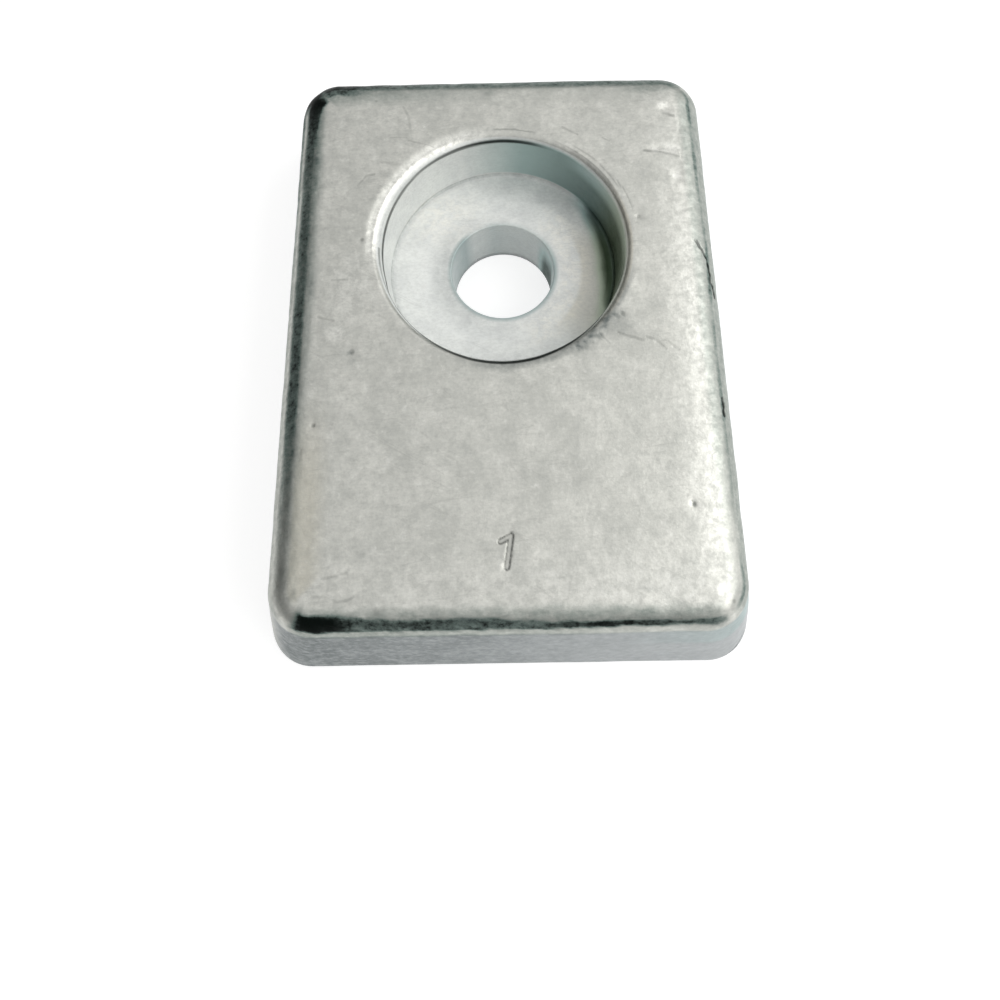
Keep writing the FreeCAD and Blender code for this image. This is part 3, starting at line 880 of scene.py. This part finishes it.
def soot_and_shade_mask(nodes, finish):
    """The cover of the soot and painted shade, made uneven where it is thin."""
    thin = nodes.maths("MULTIPLY", finish.soot_and_shade, nodes.maths("SUBTRACT", 1.0, finish.soot_and_shade, clamp=True))
    thin = nodes.maths("MULTIPLY", thin, finish.soot_and_shade)
    swing = nodes.maths("MULTIPLY", nodes.maths("SUBTRACT", finish.patches, 0.5), 5.5)
    grain = nodes.maths("MULTIPLY", nodes.maths("SUBTRACT", finish.grain, 0.5), 2.5)
    swing = nodes.maths("ADD", swing, grain)
    return nodes.maths("ADD", finish.soot_and_shade, nodes.maths("MULTIPLY", thin, swing), clamp=True)


def dirty_colour(nodes, finish, colour, mask, cuts):
    """Soot with painted shade, green painted shade, smudges with painted shade, cuts and packed dirt laid
    over the clean colour, in that order.
    """
    thin = nodes.maths("MULTIPLY", mask, 1.36, clamp=True)
    colour = nodes.blend(thin, colour, THIN_SOOT_AND_SHADE)
    colour = nodes.blend(nodes.ramp(mask, 0.7, 1.03), colour, THICK_SOOT_AND_SHADE)
    shade_colour = nodes.blend(finish.olive, BLUE_SHADE, OLIVE_SHADE)
    shade_cover = nodes.maths("MULTIPLY", finish.green_painted_shade, 2.4, clamp=True)
    colour = nodes.blend(nodes.maths("MULTIPLY", shade_cover, 0.88), colour, shade_colour)
    dark_shade_colour = nodes.blend(finish.olive, DARK_BLUE_SHADE, DARK_OLIVE_SHADE)
    colour = nodes.blend(nodes.ramp(finish.green_painted_shade, 0.33, 1.0, 0.0, 0.97), colour, dark_shade_colour)
    rubs_and_shade = nodes.maths("MULTIPLY", finish.smudges_and_shade, nodes.ramp(finish.patches, 0.3, 0.6, 0.6, 1.0))
    colour = nodes.blend(rubs_and_shade, colour, SMUDGE_AND_SHADE)
    colour = nodes.blend(cuts, colour, CUT)
    return nodes.blend(nodes.ramp(finish.dirt, 0.08, 0.95, 0.0, 0.94), colour, PACKED_DIRT)


def zinc():
    """Dull cast zinc: cloudy light grey, walls painted darker and cooler as shade, soot with painted dark
    reflection on the rounded edges, rubbed bright places with painted highlights.
    """
    material, nodes, shader = new_material("cast_zinc")
    finish = Finish(nodes)
    mask = soot_and_shade_mask(nodes, finish)
    hair = scattered_hairlines(nodes, finish.place)
    cuts = nodes.maths("MAXIMUM", finish.scratches, nodes.maths("MULTIPLY", hair, 0.1))
    colour = cast_colour(nodes, finish)
    colour = dirty_colour(nodes, finish, colour, mask, cuts)
    nodes.feed(shader.inputs["Base Color"], colour)

    dark = nodes.maths("MAXIMUM", mask, nodes.maths("MAXIMUM", finish.dirt, finish.green_painted_shade))
    metal = nodes.maths("SUBTRACT", 0.92, nodes.maths("MULTIPLY", finish.core, 0.75))
    nodes.feed(shader.inputs["Metallic"], nodes.maths("MAXIMUM", metal, dark, clamp=True))
    gloss = nodes.ramp(finish.clouds, 0.3, 0.7, 0.38, 0.48)
    gloss = nodes.maths("ADD", gloss, nodes.ramp(finish.mottle, 0.35, 0.7, -0.05, 0.07))
    gloss = nodes.maths("SUBTRACT", gloss, nodes.maths("MULTIPLY", finish.core, 0.06))
    nodes.feed(shader.inputs["Roughness"], nodes.maths("ADD", gloss, nodes.maths("MULTIPLY", dark, 0.12)))

    lumps = nodes.bump(nodes.noise(finish.place, 1.1, detail=4.0, roughness=0.6), LUMP_HEIGHT, 0.5)
    pebbles = nodes.bump(finish.mottle, PEBBLE_HEIGHT, 0.5, lumps)
    fine = nodes.bump(finish.grain, GRAIN_HEIGHT, 0.4, pebbles)
    nodes.feed(shader.inputs["Normal"], fine)
    return material


# Stage, in metres: a pale floor, one broad window to the right and dark cards on the other sides
FLOOR_HALF = 2.0
FLOOR_DROP = 0.00002
FLOOR_COLOUR = (0.45, 0.45, 0.45, 1)
BACKGROUND_LIFT = 0.75
WORLD_STRENGTH = 0.78
CARD_COLOUR = (0.03, 0.035, 0.032, 1)
CARDS = [("card_left", (-0.18, 0.02, 0.11), (0.50, 0.20)),
         ("card_near", (-0.05, -0.22, 0.07), (0.40, 0.12)),
         ("card_far", (0.0, 0.25, 0.05), (0.40, 0.07))]
WINDOW_PLACE = (0.24, -0.01, 0.26)
WINDOW_SIZE = (0.50, 0.20)
WINDOW_POWER = 0.6
WINDOW_COLOUR = (1.0, 0.995, 0.97)


def background_lift(nodes, strength):
    """Light that only the camera, mirrors and glass see, so that the background shows pale in them too."""
    rays = nodes.add("ShaderNodeLightPath")
    seen = nodes.maths("MAXIMUM", rays.outputs["Is Camera Ray"], rays.outputs["Is Glossy Ray"])
    seen = nodes.maths("MAXIMUM", seen, rays.outputs["Is Transmission Ray"])
    return nodes.maths("MULTIPLY", seen, strength)


def flat_sheet(name, half_width, half_height):
    """A flat rectangle in its own XY plane, as a new object of the stage."""
    data = bpy.data.meshes.new(name)
    corners = [(x * half_width, y * half_height, 0) for x, y in ((-1, -1), (1, -1), (1, 1), (-1, 1))]
    data.from_pydata(corners, [], [(0, 1, 2, 3)])
    sheet = bpy.data.objects.new(name, data)
    bpy.context.scene.collection.objects.link(sheet)
    return sheet


def make_floor():
    floor = flat_sheet("floor", FLOOR_HALF, FLOOR_HALF)
    floor.location.z = -FLOOR_DROP
    material, nodes, shader = new_material("pale_floor")
    shader.inputs["Base Color"].default_value = FLOOR_COLOUR
    shader.inputs["Roughness"].default_value = 1.0
    shader.inputs["Specular IOR Level"].default_value = 0.0
    shader.inputs["Emission Color"].default_value = (1, 1, 1, 1)
    nodes.feed(shader.inputs["Emission Strength"], background_lift(nodes, BACKGROUND_LIFT))
    floor.data.materials.append(material)


def make_world():
    world = bpy.data.worlds.new("studio")
    bpy.context.scene.world = world
    world.use_nodes = True
    background = next(node for node in world.node_tree.nodes if node.type == "BACKGROUND")
    background.inputs["Color"].default_value = (1, 1, 1, 1)
    background.inputs["Strength"].default_value = WORLD_STRENGTH


def aim(thing, target=(0, 0, 0)):
    """Turns a lamp or a card to face the target."""
    thing.rotation_euler = (Vector(target) - thing.location).to_track_quat("-Z", "Y").to_euler()


def make_window():
    data = bpy.data.lights.new("window", "AREA")
    data.shape = "RECTANGLE"
    data.size, data.size_y = WINDOW_SIZE
    data.energy = WINDOW_POWER
    data.color = WINDOW_COLOUR
    lamp = bpy.data.objects.new("window", data)
    lamp.location = WINDOW_PLACE
    bpy.context.scene.collection.objects.link(lamp)
    aim(lamp)


def make_card(name, place, size):
    """A dark upright card beside the block, which the camera doesn't see."""
    card = flat_sheet(name, size[0] / 2, size[1] / 2)
    card.location = place
    card.visible_camera = False
    aim(card, (0, 0, place[2]))
    material, nodes, shader = new_material(name)
    shader.inputs["Base Color"].default_value = CARD_COLOUR
    shader.inputs["Roughness"].default_value = 0.9
    card.data.materials.append(material)


# Camera, as the photograph was taken: close, looking down on the block from above its near side
CAMERA_PLACE = (0.230, -25.562, 71.250)
CAMERA_TILT = math.radians(19.282)
CAMERA_ROLL = math.radians(0.835)
CAMERA_TURN = math.radians(-0.855)
LENS = 29.521
SENSOR = 36.0
SHIFT_Y = -0.128


def make_camera():
    data = bpy.data.cameras.new("camera")
    data.sensor_width = SENSOR
    data.lens = LENS
    data.shift_y = SHIFT_Y
    data.clip_start = 0.001
    data.clip_end = 10
    camera = bpy.data.objects.new("camera", data)
    turn = Matrix.Rotation(CAMERA_TURN, 4, "Z") @ Matrix.Rotation(CAMERA_ROLL, 4, "Y")
    turn = turn @ Matrix.Rotation(CAMERA_TILT, 4, "X")
    camera.matrix_world = Matrix.Translation(Vector(CAMERA_PLACE) * MM) @ turn
    bpy.context.scene.collection.objects.link(camera)
    bpy.context.scene.camera = camera


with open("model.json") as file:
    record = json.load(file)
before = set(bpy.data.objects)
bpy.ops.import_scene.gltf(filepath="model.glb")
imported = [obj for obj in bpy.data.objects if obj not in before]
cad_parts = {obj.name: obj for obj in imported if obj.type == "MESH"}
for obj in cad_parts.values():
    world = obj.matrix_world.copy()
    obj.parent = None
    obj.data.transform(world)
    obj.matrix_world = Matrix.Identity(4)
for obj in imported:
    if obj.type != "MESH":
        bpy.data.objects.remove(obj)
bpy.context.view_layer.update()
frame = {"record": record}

make_camera()
make_world()
make_floor()
make_window()
for name, place, size in CARDS:
    make_card(name, place, size)

block = cast_block(Section(frame["record"]))
block.data.materials.append(zinc())
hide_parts(NODE)
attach(block, "root")

bpy.context.scene.view_settings.view_transform = "Standard"
